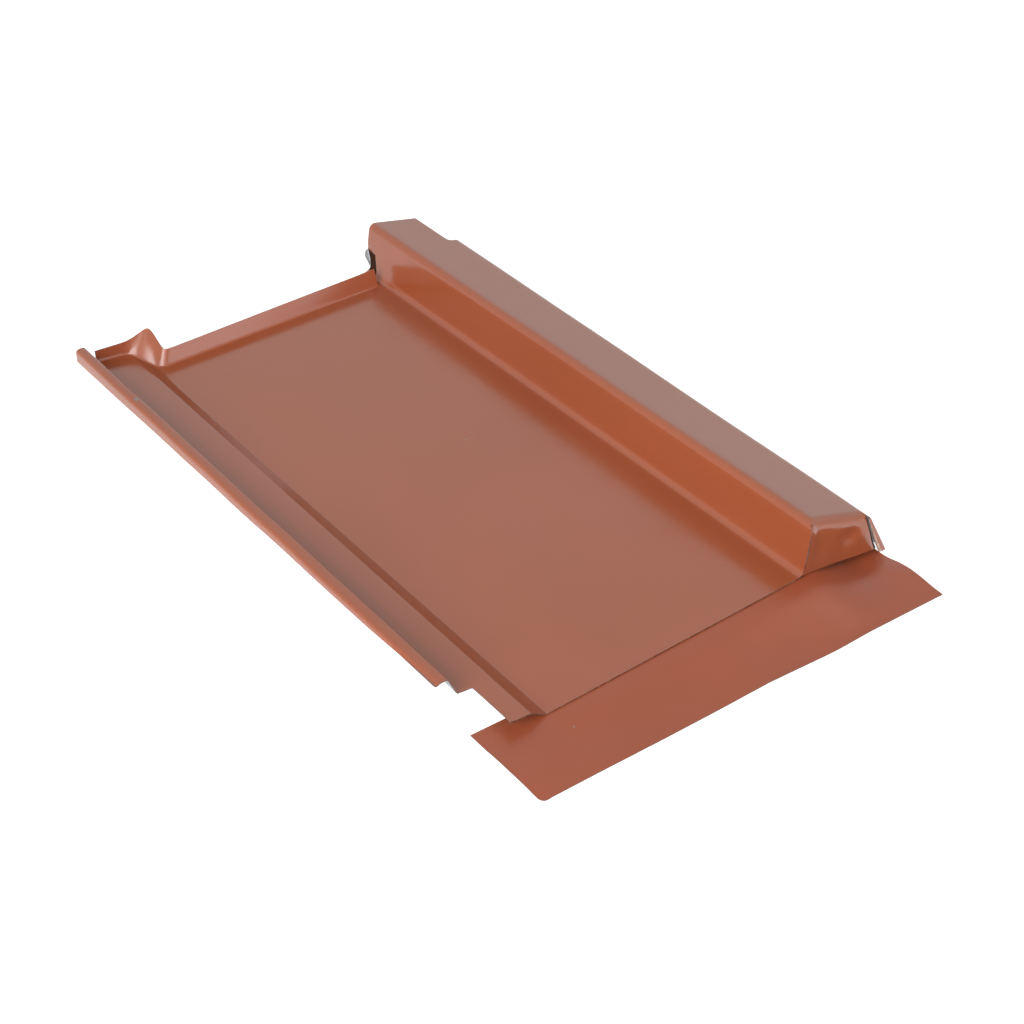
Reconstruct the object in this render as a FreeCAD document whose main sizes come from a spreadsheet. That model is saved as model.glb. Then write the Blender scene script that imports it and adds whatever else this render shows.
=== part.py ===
"""Formed metal replacement roof tile with a soft apron under its front edge.

The tile is one folded sheet: a flat pan between a small step, a flange and a hooked ridge on the left and a
tall cover rib on the right. The pan, the flange and the corner between them are turned up at the back, and a
flap folded down from the rib's top closes the rib at the front. The apron is a thin flexible sheet bonded
under the pan's front edge.

Millimetres. +Y runs up the roof slope, +X points to the cover rib, +Z is up. The origin is the bottom centre of
the whole part's bounding box. The tile is drawn in its own frame, with the underside of the pan on the XY
plane, the foot of the step at x = 0 and the front edge at y = 0, and is then tipped by rest_tilt, which is how
it lies on a level floor: on the pan's left edge and on the long free edge beside the rib.
"""

import FreeCAD, Part

import math
import os
import re

import Sketcher

SIZES = {
    # stock
    "sheet_gauge": (0.7, "thickness of the formed tile's sheet"),
    "apron_gauge": (0.5, "thickness of the apron's sheet"),
    "bond_film": (0.1, "adhesive between the apron and the pan's underside"),
    # lengths up the slope
    "rib_length": (430.0, "front edge to back edge along the cover rib"),
    "flange_length": (428.0, "front edge to back edge along the left flange"),
    "pan_length": (405.0, "front edge to the pan's turned-up back edge"),
    "ridge_setback": (32.0, "stretch of the flange at the front that has no ridge"),
    "rib_notch": (40.0, "stretch at the back where the rib has no outer flange"),
    # pan, step and flange
    "pan_width": (176.5, "foot of the step to foot of the rib wall"),
    "field_margin": (8.0, "stretch beside the step and beside the rib foot that is not in the pan's flat field"),
    "foot_bend": (2.5, "bend radius at the foot of the step"),
    "step_bend": (2.0, "bend radius at the top of the step"),
    "step_run_front": (9.8, "width of the step, front"),
    "step_run_back": (7.5, "width of the step, back"),
    "step_rise_front": (5.9, "height of the step, front"),
    "step_rise_back": (4.6, "height of the step, back"),
    "flange_width_front": (21.6, "top of the step to foot of the ridge, front"),
    "flange_width_back": (24.5, "top of the step to foot of the ridge, back"),
    "flange_rise": (2.6, "climb of the flange from the step to the ridge"),
    "flange_front_width": (23.5, "reach of the flange in front of the ridge, from the foot of the step"),
    # hooked ridge on the left edge
    "ridge_bend": (1.5, "bend radius of the ridge's folds"),
    "ridge_lean": (4.8, "sideways lean of the ridge's inner wall"),
    "ridge_rise": (12.3, "height of the ridge above the flange"),
    "ridge_top_front": (7.3, "width of the ridge's crown, front"),
    "ridge_top_back": (5.2, "width of the ridge's crown, back"),
    "ridge_hook_front": (2.4, "depth of the ridge's outer wall, front"),
    "ridge_hook_back": (8.0, "depth of the ridge's outer wall, back"),
    "ridge_flare": (0.3, "sideways lean of the ridge's outer wall"),
    # cover rib on the right edge
    "rib_foot_bend": (4.0, "bend radius at the foot of the rib wall"),
    "rib_crown_bend": (4.0, "bend radius along the rib's upper left corner"),
    "rib_outer_bend": (6.0, "bend radius between the rib's top and its outer flange"),
    "rib_rise": (33.3, "height of the rib wall above the pan"),
    "rib_lean_front": (4.4, "sideways lean of the rib wall, front"),
    "rib_lean_back": (5.8, "sideways lean of the rib wall, back"),
    "rib_top_front": (42.6, "width of the rib's sloping top, front"),
    "rib_top_back": (45.7, "width of the rib's sloping top, back"),
    "rib_fall_front": (15.8, "fall of the rib's top from the wall to the outer bend, front"),
    "rib_fall_back": (10.5, "fall of the rib's top from the wall to the outer bend, back"),
    "rib_reach": (242.0, "foot of the step to the free edge of the rib's outer flange"),
    "notch_edge": (217.5, "foot of the step to the rib's cut edge behind the notch"),
    # turned-up back edges
    "pan_upstand_start": (8.0, "foot of the step to the left end of the pan's upstand"),
    "pan_upstand_gap": (3.5, "slit between the pan's upstand and the rib wall"),
    "pan_relief": (1.0, "how far the cut behind the pan reaches into the foot of the rib wall"),
    "pan_upstand_tilt": (24.0, "backward lean of the pan's upstand from the vertical, degrees"),
    "pan_upstand_left": (10.2, "height of the pan's upstand at its left end"),
    "pan_upstand_right": (11.6, "height of the pan's upstand at its right end"),
    "flange_upstand_top": (15.0, "height of the flange's upstand above the pan's underside"),
    "corner_foot_back": (-3.0, "foot of the corner wall at its back end, from the foot of the step"),
    "corner_foot_front": (2.0, "foot of the corner wall at its front end, from the foot of the step"),
    "corner_peak": (19.0, "height of the corner wall's raised tip"),
    # flap that closes the rib at the front
    "flap_slit": (1.6, "slit between the flap and the rib wall"),
    "flap_foot_left": (1.0, "height of the flap's lower edge beside the rib wall"),
    "flap_foot_right": (-9.0, "height of the flap's lower edge beside the outer flange"),
    "flap_foot_reach": (234.5, "foot of the step to the flap's lower right corner"),
    # apron
    "apron_left": (-39.4, "left edge of the apron, from the foot of the step"),
    "apron_right": (237.4, "right edge of the apron, from the foot of the step"),
    "apron_reach": (47.5, "reach of the apron in front of the tile"),
    "apron_lap": (10.0, "lap of the apron under the tile"),
    "apron_shoulder": (34.0, "stretch beside the pan where the apron comes down to the floor"),
    # attitude at rest
    "rest_tilt": (3.05, "tilt of the tile about +Y as it lies on a level floor, in degrees"),
}

APRON_COLUMNS = 29
APRON_ROWS = 9
APRON_DEGREE = 3
X_AXIS = FreeCAD.Vector(1, 0, 0)
Y_AXIS = FreeCAD.Vector(0, 1, 0)
Z_AXIS = FreeCAD.Vector(0, 0, 1)
UPRIGHT = FreeCAD.Rotation(X_AXIS, 90)
LENGTHWISE = FreeCAD.Rotation(X_AXIS + Y_AXIS + Z_AXIS, 120)

doc = FreeCAD.newDocument("RoofTile")


def make_size_sheet():
    """The driving dimensions, one row each: alias, value, meaning."""
    sheet = doc.addObject("Spreadsheet::Sheet", "Sizes")
    for row, (alias, (value, meaning)) in enumerate(SIZES.items(), start=1):
        sheet.set(f"A{row}", alias)
        sheet.set(f"B{row}", str(value))
        sheet.set(f"C{row}", meaning)
        sheet.setAlias(f"B{row}", alias)
    doc.recompute()
    return sheet


def bound(formula):
    """The formula with each alias pointing at the size sheet."""
    return re.sub(r"\b[a-z]+_[a-z_]+\b", r"Sizes.\g<0>", formula)


def value_of(formula):
    """The formula's number, from the size sheet."""
    return float(doc.Sizes.evalExpression(bound(formula)))


def bind(owner, prop, formula):
    owner.setExpression(prop, bound(formula))


def upright_sketch(name, station):
    """A sketch in a plane across the slope, at the given distance behind the tile's front edge."""
    sketch = doc.addObject("Sketcher::SketchObject", name)
    sketch.Placement = FreeCAD.Placement(FreeCAD.Vector(0, value_of(station), 0), UPRIGHT)
    bind(sketch, "Placement.Base.y", station)
    return sketch


def pin_point(sketch, geometry, vertex, x_formula, z_formula):
    """Fixes one vertex of the sketch at two bound coordinates."""
    for kind, formula in (("DistanceX", x_formula), ("DistanceY", z_formula)):
        constraint = Sketcher.Constraint(kind, geometry, vertex, value_of(formula))
        index = sketch.addConstraint(constraint)
        bind(sketch, f"Constraints[{index}]", formula)


def corner_arc(before, corner, after, radius):
    """The arc that rounds a corner, its two tangent points, and whether the outline turns left there."""
    to_before = (before - corner).normalize()
    to_after = (after - corner).normalize()
    half_angle = to_before.getAngle(to_after) / 2
    reach = radius / math.tan(half_angle)
    entry = corner + to_before * reach
    leave = corner + to_after * reach
    centre = corner + (to_before + to_after).normalize() * (radius / math.sin(half_angle))
    turns_left = to_after.cross(to_before).z > 0
    first, last = (entry, leave) if turns_left else (leave, entry)
    start = math.atan2(first.y - centre.y, first.x - centre.x)
    end = math.atan2(last.y - centre.y, last.x - centre.x)
    if end < start:
        end += 2 * math.pi
    arc = Part.ArcOfCircle(Part.Circle(centre, Z_AXIS, radius), start, end)
    return arc, entry, leave, turns_left


def draw_folded_line(sketch, corners):
    """An open line with rounded folds. Each corner is (x formula, z formula, bend radius alias or None)."""
    points = [FreeCAD.Vector(value_of(x), value_of(z), 0) for x, z, _ in corners]
    entries = list(points)
    leaves = list(points)
    arcs = {}
    for i, (_, _, bend) in enumerate(corners):
        if bend:
            arc, entries[i], leaves[i], turns_left = corner_arc(*points[i - 1:i + 2], value_of(bend))
            arcs[i] = (arc, turns_left)
    lines = []
    for i in range(len(points) - 1):
        lines.append(sketch.addGeometry(Part.LineSegment(leaves[i], entries[i + 1]), False))
    for i, (x, z, bend) in enumerate(corners):
        if not bend:
            last = i == len(corners) - 1
            pin_point(sketch, lines[-1] if last else lines[i], 2 if last else 1, x, z)
            continue
        arc, turns_left = arcs[i]
        bow = sketch.addGeometry(arc, False)
        entry_vertex, leave_vertex = (1, 2) if turns_left else (2, 1)
        sketch.addConstraint(Sketcher.Constraint("Tangent", lines[i - 1], 2, bow, entry_vertex))
        sketch.addConstraint(Sketcher.Constraint("Tangent", lines[i], 1, bow, leave_vertex))
        radius = sketch.addConstraint(Sketcher.Constraint("Radius", bow, value_of(bend)))
        bind(sketch, f"Constraints[{radius}]", bend)
        apex = sketch.addGeometry(Part.Point(points[i]), True)
        sketch.addConstraint(Sketcher.Constraint("PointOnObject", apex, 1, lines[i - 1]))
        sketch.addConstraint(Sketcher.Constraint("PointOnObject", apex, 1, lines[i]))
        pin_point(sketch, apex, 1, x, z)


def draw_polygon(sketch, corners):
    """A closed outline with sharp corners, each (x formula, z formula)."""
    points = [FreeCAD.Vector(value_of(x), value_of(z), 0) for x, z in corners]
    count = len(points)
    lines = []
    for i in range(count):
        lines.append(sketch.addGeometry(Part.LineSegment(points[i], points[(i + 1) % count]), False))
    for i, (x, z) in enumerate(corners):
        sketch.addConstraint(Sketcher.Constraint("Coincident", lines[i - 1], 2, lines[i], 1))
        pin_point(sketch, lines[i], 1, x, z)


def floor_height(x_formula):
    """Height of the floor in the tile's own frame, under a point at x."""
    return f"-(apron_gauge + bond_film) / cos(rest_tilt * 1deg) - ({x_formula}) * tan(rest_tilt * 1deg)"


def section_corners(end):
    """The underside of the folded sheet from the ridge's hook to the rib's free edge, at the front or back."""
    step_x = f"-step_run_{end}"
    ridge_x = f"-step_run_{end} - flange_width_{end}"
    crown_x = f"{ridge_x} - ridge_lean"
    hook_x = f"{crown_x} - ridge_top_{end}"
    crown_z = f"step_rise_{end} + flange_rise + ridge_rise"
    rib_x = f"pan_width + rib_lean_{end}"
    return [
        (f"{hook_x} - ridge_flare", f"{crown_z} - ridge_hook_{end}", None),
        (hook_x, crown_z, "ridge_bend"),
        (crown_x, crown_z, "ridge_bend"),
        (ridge_x, f"step_rise_{end} + flange_rise", "ridge_bend"),
        (step_x, f"step_rise_{end}", "step_bend"),
        ("0", "0", "foot_bend"),
        ("pan_width", "0", "rib_foot_bend"),
        (rib_x, "rib_rise", "rib_crown_bend"),
        (f"{rib_x} + rib_top_{end}", f"rib_rise - rib_fall_{end}", "rib_outer_bend"),
        ("rib_reach", floor_height("rib_reach"), None),
    ]


def sheet_section(end, station):
    """The sheet's full section, at its thickness, as a face across the slope."""
    line = upright_sketch(f"section_line_{end}", station)
    draw_folded_line(line, section_corners(end))
    section = doc.addObject("Part::Offset2D", f"section_{end}")
    section.Source = line
    section.Mode = "Skin"
    section.Fill = True
    bind(section, "Value", "sheet_gauge")
    doc.recompute()
    return section


def loft(name, sections):
    solid = doc.addObject("Part::Loft", name)
    solid.Sections = sections
    solid.Solid = True
    solid.Ruled = True
    return solid


def cutting_block(name, low, high):
    """A box between two corners, each given as (x, y, z) formulas."""
    block = doc.addObject("Part::Box", name)
    for axis, side, start, stop in zip("xyz", ("Length", "Width", "Height"), low, high):
        bind(block, side, f"({stop}) - ({start})")
        bind(block, f"Placement.Base.{axis}", start)
    return block


def standing_plate(name, station, corners):
    """A plate across the slope, one sheet thick, whose front face is at the given station."""
    outline = upright_sketch(f"{name}_outline", station)
    draw_polygon(outline, corners)
    plate = doc.addObject("Part::Extrusion", name)
    plate.Base = outline
    plate.DirMode = "Custom"
    plate.Dir = Y_AXIS
    plate.Solid = True
    bind(plate, "LengthFwd", "sheet_gauge")
    return plate


def make_formed_sheet():
    """The long folded section, with what the front and back cuts leave of it."""
    whole = loft("folded_section", [sheet_section("front", "0"), sheet_section("back", "rib_length")])
    below, above = "-rib_rise", "rib_rise * 2"
    far_left, far_right, far_back = "-pan_width", "rib_reach * 2", "rib_length * 2"
    cuts = doc.addObject("Part::MultiFuse", "trimmed_corners")
    cuts.Shapes = [
        cutting_block("front_of_ridge", (far_left, far_left, below),
                      ("-flange_front_width", "ridge_setback", above)),
        cutting_block("behind_flange", (far_left, "flange_length", below), ("foot_bend", far_back, above)),
        cutting_block("behind_pan", ("corner_foot_front", "pan_length", below),
                      ("pan_width + pan_relief", far_back, above)),
        cutting_block("pan_field_gap", ("field_margin", far_left, below),
                      ("pan_width - field_margin", far_back, above)),
        cutting_block("rib_flange_notch", ("notch_edge", "rib_length - rib_notch", below),
                      (far_right, far_back, above)),
    ]
    trimmed = doc.addObject("Part::Cut", "formed_sheet")
    trimmed.Base = whole
    trimmed.Tool = cuts
    return trimmed


def make_pan_field():
    """The flat field of the pan, a true plane that other things can be laid on."""
    field = doc.addObject("Part::Box", "pan_field")
    bind(field, "Length", "pan_width - field_margin * 2")
    bind(field, "Width", "pan_length")
    bind(field, "Height", "sheet_gauge")
    bind(field, "Placement.Base.x", "field_margin")
    return field


def pan_upstand_section(name, station, height):
    """A thin section of the pan's upstand, along the slope, leaning back from its foot to its cut edge."""
    sketch = doc.addObject("Sketcher::SketchObject", name)
    sketch.Placement = FreeCAD.Placement(FreeCAD.Vector(value_of(station), 0, 0), LENGTHWISE)
    bind(sketch, "Placement.Base.x", station)
    front, back = "pan_length - sheet_gauge", "pan_length"
    lean = f"({height}) * tan(pan_upstand_tilt * 1deg)"
    draw_polygon(sketch, [
        (front, "0"),
        (back, "0"),
        (f"{back} + {lean}", height),
        (f"{front} + {lean}", height),
    ])
    return sketch


def make_pan_upstand():
    """The pan's back edge, turned up and leaning back, low where it starts beside the corner wall."""
    return loft("pan_upstand", [
        pan_upstand_section("pan_upstand_corner", "corner_foot_front", "sheet_gauge * 2"),
        pan_upstand_section("pan_upstand_left_end", "pan_upstand_start", "pan_upstand_left"),
        pan_upstand_section("pan_upstand_right_end", "pan_width - pan_upstand_gap", "pan_upstand_right"),
    ])


def make_flange_upstand():
    """The flange's back edge, turned up between the ridge and the corner wall."""
    ridge_x = "-step_run_back - flange_width_back"
    return standing_plate("flange_upstand", "flange_length - sheet_gauge", [
        (ridge_x, "step_rise_back + flange_rise"),
        ("-step_run_back", "step_rise_back"),
        ("corner_foot_back", "step_rise_back * 0.5"),
        ("corner_foot_back + sheet_gauge", "flange_upstand_top"),
        (ridge_x, "flange_upstand_top"),
    ])


def corner_section(name, station, foot, top):
    """A thin slanted section of the corner wall from its foot up to its top, each an (x, z) pair."""
    outline = upright_sketch(name, station)
    draw_polygon(outline, [
        foot,
        (f"{foot[0]} + sheet_gauge * 1.3", foot[1]),
        (f"{top[0]} + sheet_gauge * 1.3", top[1]),
        top,
    ])
    return outline


def make_corner_wall():
    """The wall beside the step that joins the flange's upstand to the pan's, raised to a tip at the back."""
    back = corner_section("corner_back", "flange_length", ("corner_foot_back", "step_rise_back * 0.3"),
                          ("pan_upstand_start", "corner_peak"))
    front = corner_section("corner_front", "pan_length - sheet_gauge", ("corner_foot_front", "0"),
                           ("pan_upstand_start", "pan_upstand_left"))
    return loft("corner_wall", [front, back])


def make_rib_flap():
    """The flap folded down from the rib's top, free of the rib wall, that closes the rib at the front."""
    rib_x = "pan_width + rib_lean_front"
    half = "sheet_gauge * 0.5"
    return standing_plate("rib_flap", "0", [
        ("pan_width + flap_slit", "flap_foot_left"),
        ("flap_foot_reach", "flap_foot_right"),
        (f"{rib_x} + rib_top_front", f"rib_rise - rib_fall_front + {half}"),
        (f"{rib_x} + rib_crown_bend", f"rib_rise - rib_crown_bend * rib_fall_front / rib_top_front + {half}"),
        (f"{rib_x} + flap_slit", "rib_rise - rib_crown_bend"),
    ])


def make_tile_sheet():
    tile = doc.addObject("Part::MultiFuse", "tile")
    tile.Shapes = [
        make_formed_sheet(),
        make_pan_field(),
        make_pan_upstand(),
        make_flange_upstand(),
        make_corner_wall(),
        make_rib_flap(),
    ]
    tile.Refine = True
    tile.Label = "tile_sheet"
    return tile


def ease(fraction):
    """A smooth climb from 0 to 1."""
    fraction = min(max(fraction, 0.0), 1.0)
    return (1 - math.cos(math.pi * fraction)) / 2


def apron_height(x, y):
    """Underside of the apron above the floor: it follows the pan's underside and droops to the floor."""
    pan_edge = value_of("pan_width")
    slope = math.tan(math.radians(value_of("rest_tilt")))
    across = max(x, 0.0) if x < pan_edge else pan_edge * (1 - ease((x - pan_edge) / value_of("apron_shoulder")))
    droop = 1 - ease(-y / value_of("apron_reach"))
    return across * slope * droop


def clamped_knots(poles):
    """Evenly spaced knots and their multiplicities for a curve that starts and ends on its end poles."""
    spans = poles - APRON_DEGREE
    return list(range(spans + 1)), [APRON_DEGREE + 1] + [1] * (spans - 1) + [APRON_DEGREE + 1]


def make_apron():
    """The apron's drooping surface, given its thickness."""
    left, right = value_of("apron_left"), value_of("apron_right")
    front, back = -value_of("apron_reach"), value_of("apron_lap")
    poles = []
    for column in range(APRON_COLUMNS):
        x = left + (right - left) * column / (APRON_COLUMNS - 1)
        rows = [front + (back - front) * row / (APRON_ROWS - 1) for row in range(APRON_ROWS)]
        poles.append([FreeCAD.Vector(x, y, apron_height(x, y)) for y in rows])
    column_knots, column_counts = clamped_knots(APRON_COLUMNS)
    row_knots, row_counts = clamped_knots(APRON_ROWS)
    surface = Part.BSplineSurface()
    surface.buildFromPolesMultsKnots(poles, column_counts, row_counts, column_knots, row_knots,
                                     False, False, APRON_DEGREE, APRON_DEGREE)
    apron = doc.addObject("Part::Feature", "apron")
    apron.Shape = surface.toShape().extrude(Z_AXIS * value_of("apron_gauge"))
    apron.Label = "apron"
    return apron


def rest_on_floor(tile, apron):
    """Tips the tile as it lies on a level floor and centres the whole part over the origin."""
    tip = FreeCAD.Rotation(Y_AXIS, -value_of("rest_tilt"))
    tile.Placement = FreeCAD.Placement(Z_AXIS * value_of("apron_gauge + bond_film"), tip)
    doc.recompute()
    box = FreeCAD.BoundBox(tile.Shape.BoundBox)
    box.add(apron.Shape.BoundBox)
    shift = FreeCAD.Vector(-box.Center.x, -box.Center.y, -box.ZMin)
    for piece in (tile, apron):
        piece.Placement.Base = piece.Placement.Base + shift
    doc.recompute()


def check_document(pieces):
    """Stops unless every object is up to date and every piece is one valid solid."""
    for entry in doc.Objects:
        if {"Invalid", "Error"} & set(entry.State):
            raise RuntimeError(f"{entry.Name} failed: {entry.State}")
    for piece in pieces:
        if piece.Shape.isNull() or not piece.Shape.isValid() or len(piece.Shape.Solids) != 1:
            raise RuntimeError(f"{piece.Label} is not one valid solid")


def write_pieces(pieces):
    os.makedirs("parts", exist_ok=True)
    for piece in pieces:
        piece.Shape.exportStep(f"parts/{piece.Label}.step")
        box = piece.Shape.BoundBox
        print(f"{piece.Label}: {piece.Shape.Volume:.0f} mm3, x {box.XMin:.2f}..{box.XMax:.2f}, "
              f"y {box.YMin:.2f}..{box.YMax:.2f}, z {box.ZMin:.2f}..{box.ZMax:.2f}")


make_size_sheet()
tile_sheet = make_tile_sheet()
apron_sheet = make_apron()
rest_on_floor(tile_sheet, apron_sheet)
check_document([tile_sheet, apron_sheet])
write_pieces([tile_sheet, apron_sheet])
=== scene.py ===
"""Looks of the formed metal roof tile and its apron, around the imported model."""

import math

import bpy
import numpy as np
from mathutils import Euler, Matrix, Vector, noise


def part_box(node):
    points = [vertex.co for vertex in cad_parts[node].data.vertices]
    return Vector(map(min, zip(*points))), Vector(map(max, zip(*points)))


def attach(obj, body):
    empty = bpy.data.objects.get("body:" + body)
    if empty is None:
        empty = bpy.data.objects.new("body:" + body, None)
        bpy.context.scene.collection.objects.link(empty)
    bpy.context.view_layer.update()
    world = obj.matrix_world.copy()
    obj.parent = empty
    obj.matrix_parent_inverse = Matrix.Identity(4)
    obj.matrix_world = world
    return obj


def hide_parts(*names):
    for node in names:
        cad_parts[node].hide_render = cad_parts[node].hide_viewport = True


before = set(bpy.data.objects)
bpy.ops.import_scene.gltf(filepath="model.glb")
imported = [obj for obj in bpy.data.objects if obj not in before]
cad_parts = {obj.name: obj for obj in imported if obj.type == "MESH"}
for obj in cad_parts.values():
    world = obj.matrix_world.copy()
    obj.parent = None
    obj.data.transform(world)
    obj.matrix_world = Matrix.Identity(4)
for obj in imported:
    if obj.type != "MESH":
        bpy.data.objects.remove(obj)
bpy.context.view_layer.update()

MM = 0.001
TILE_LOW, TILE_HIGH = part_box("tile_sheet")
APRON_LOW, APRON_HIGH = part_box("apron")

# The tile's own frame: millimetres, underside of the pan at z = 0, foot of the step at x = 0, front edge at
# y = 0. It lies tipped by REST_TILT, with its free edge RIB_REACH_WORLD to the right of the origin.
REST_TILT = math.radians(3.05)
RIB_REACH_WORLD = 243.01
REST_LIFT = 0.6
GAUGE = 0.7
APRON_GAUGE = 0.5
TILE_FRAME = (
    Matrix.Translation((TILE_HIGH.x - RIB_REACH_WORLD * MM, TILE_LOW.y, REST_LIFT * MM))
    @ Matrix.Rotation(-REST_TILT, 4, "Y")
    @ Matrix.Scale(MM, 4)
)

# ---------------------------------------------------------------- sizes of the tile, in its own frame
RIB_LENGTH = 430.0
FLANGE_LENGTH = 427.5
RIDGE_SETBACK = 32.0
NOTCH_START = 390.0
FLANGE_CUT = -20.5
WARP_START = 340.0
FLAP_BEND_START = 7.0
FLAP_BEND_RADIUS = 5.5

# Corners of the top surface: (x, z, bend radius, points on the bend, points on the straight after it).
FRONT_SECTION = [
    (-44.0, 18.4, 0, 1, 2),
    (-44.1, 21.3, 2.0, 4, 2),
    (-36.0, 21.4, 2.6, 5, 3),
    (-30.8, 9.1, 1.8, 4, 4),
    (-9.6, 6.6, 2.4, 5, 3),
    (0.3, 0.7, 2.2, 6, 18),
    (175.8, 0.7, 4.6, 6, 6),
    (180.3, 33.9, 4.6, 7, 6),
    (225.8, 17.6, 7.5, 7, 5),
    (242.3, -13.0, 0, 1, 0),
]
BACK_SECTION = [
    (-43.1, 12.2, 0, 1, 2),
    (-42.8, 20.7, 2.2, 4, 2),
    (-36.6, 20.7, 2.6, 5, 3),
    (-31.4, 7.9, 1.8, 4, 4),
    (-7.2, 5.3, 2.4, 5, 3),
    (0.3, 0.7, 2.2, 6, 18),
    (175.8, 0.7, 4.6, 6, 6),
    (181.7, 34.2, 4.6, 7, 6),
    (228.4, 23.5, 7.0, 7, 5),
    (242.3, -13.0, 0, 1, 0),
]


def ease(t):
    """A smooth climb from 0 to 1."""
    t = min(max(t, 0.0), 1.0)
    return t * t * (3 - 2 * t)


def mix(a, b, t):
    return a + (b - a) * t


def bend_at(before, here, after):
    """Directions from a corner to its neighbours, and half the angle between them."""
    back, ahead = before - here, after - here
    back /= np.linalg.norm(back)
    ahead /= np.linalg.norm(ahead)
    half = math.acos(float(np.clip(back @ ahead, -1, 1))) / 2
    return back, ahead, half


def rounded_line(corners):
    """Points along a folded line with rounded bends, as an array of (x, z), and the corner each belongs to."""
    points, owners = [], []
    vertices = [np.array(c[:2], float) for c in corners]
    for i, (_, _, radius, on_bend, on_straight) in enumerate(corners):
        here = vertices[i]
        if radius:
            back, ahead, half = bend_at(vertices[i - 1], here, vertices[i + 1])
            centre = here + (back + ahead) / np.linalg.norm(back + ahead) * radius / math.sin(half)
            start = here + back * radius / math.tan(half) - centre
            end = here + ahead * radius / math.tan(half) - centre
            a0 = math.atan2(start[1], start[0])
            turn = math.atan2(start[0] * end[1] - start[1] * end[0], start @ end)
            for k in range(on_bend):
                a = a0 + turn * k / (on_bend - 1)
                points.append(centre + radius * np.array([math.cos(a), math.sin(a)]))
                owners.append(i)
        else:
            points.append(here)
            owners.append(i)
        leave = points[-1]
        if i + 1 < len(corners):
            target, next_radius = vertices[i + 1], corners[i + 1][2]
            if next_radius:
                back, _, half = bend_at(here, target, vertices[i + 2])
                target = target + back * next_radius / math.tan(half)
            for k in range(1, on_straight + 1):
                points.append(mix(leave, target, k / (on_straight + 1)))
                owners.append(i + 0.5)
    return np.array(points), owners


FRONT_POINTS, OWNERS = rounded_line(FRONT_SECTION)
BACK_POINTS, _ = rounded_line(BACK_SECTION)
COLUMNS = len(OWNERS)


def columns_of(corner):
    """Indices of the columns on a corner's bend, or with a half added, on the straight after it."""
    return [j for j, owner in enumerate(OWNERS) if owner == corner]


RIDGE_FOOT = columns_of(3)[-1]
STEP_TOP = columns_of(4)[0]
PAN_END = columns_of(5.5)[-1]
CROWN_START = columns_of(7)[0]
CROWN_END = columns_of(7)[-1]
OUTER_BEND = columns_of(8)[0]
OUTER_END = columns_of(8)[-1]
BACK_COLUMNS = range(RIDGE_FOOT, PAN_END + 1)

# Plan of the foot of the turned-up back edge, from the ridge to the rib: corners (x, y, radius).
BACK_PATH = [(-31.0, 424.8, 0), (-9.4, 424.8, 1.5), (4.2, 403.6, 3.0), (169.6, 403.6, 0)]
# Its cut edge, against distance along that plan: (distance, x, y, z).
EDGE_TOPS = [
    (0.0, -31.0, 426.4, 15.6), (18.5, -9.0, 426.5, 14.2), (22.4, -4.2, 426.6, 15.0), (25.4, 1.0, 427.2, 16.6),
    (27.7, 5.6, 427.4, 18.3), (29.5, 7.6, 426.6, 19.2), (33.0, 8.3, 422.6, 17.8), (43.5, 8.2, 410.8, 10.9),
    (47.2, 9.2, 408.8, 10.2), (51.4, 12.8, 408.3, 10.1), (125.4, 86.5, 408.8, 10.9),
    (200.4, 161.5, 409.2, 11.5), (208.9, 169.8, 408.8, 12.2),
]
EDGE_RADIUS = 1.5
CORNER_STEPS = 12
NORMAL_REACH = 1.2
RIDGE_SIDE, PAN_SIDE = -12.0, 9.0


def sample_path(path):
    """Points along a plan path with rounded corners, and how far along it each one lies."""
    fine = []
    for i, (x, y, radius) in enumerate(path):
        here = np.array([x, y])
        if not radius:
            fine.append(here)
            continue
        back = np.array(path[i - 1][:2]) - here
        ahead = np.array(path[i + 1][:2]) - here
        back /= np.linalg.norm(back)
        ahead /= np.linalg.norm(ahead)
        for k in range(CORNER_STEPS + 1):
            t = k / CORNER_STEPS
            fine.append(here + back * radius * (1 - t) ** 2 + ahead * radius * t ** 2)
    fine = np.array(fine)
    steps = np.linalg.norm(np.diff(fine, axis=0), axis=1)
    length = np.concatenate([[0], np.cumsum(steps)])
    return fine, length


PATH_POINTS, PATH_LENGTH = sample_path(BACK_PATH)


def path_at(distance):
    x = np.interp(distance, PATH_LENGTH, PATH_POINTS[:, 0])
    y = np.interp(distance, PATH_LENGTH, PATH_POINTS[:, 1])
    return np.array([x, y])


def path_normal(distance):
    """Outward normal in plan, away from the pan."""
    along = path_at(distance + NORMAL_REACH) - path_at(distance - NORMAL_REACH)
    along /= np.linalg.norm(along)
    return np.array([-along[1], along[0]])


def back_distances():
    """Where each column meets the turned-up edge, as a distance along its foot."""
    full = PATH_LENGTH[-1]
    near_ridge = [j for j in BACK_COLUMNS if BACK_POINTS[j, 0] < RIDGE_SIDE]
    near_pan = [j for j in BACK_COLUMNS if BACK_POINTS[j, 0] > PAN_SIDE]
    out = {}
    for j in near_ridge:
        out[j] = float(BACK_POINTS[j, 0] - BACK_PATH[0][0])
    for j in near_pan:
        out[j] = float(full - (BACK_POINTS[PAN_END, 0] - BACK_POINTS[j, 0]))
    middle = [j for j in BACK_COLUMNS if j not in out]
    start, end = out[near_ridge[-1]], out[near_pan[0]]
    for k, j in enumerate(middle, start=1):
        out[j] = mix(start, end, k / (len(middle) + 1))
    return out


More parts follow.
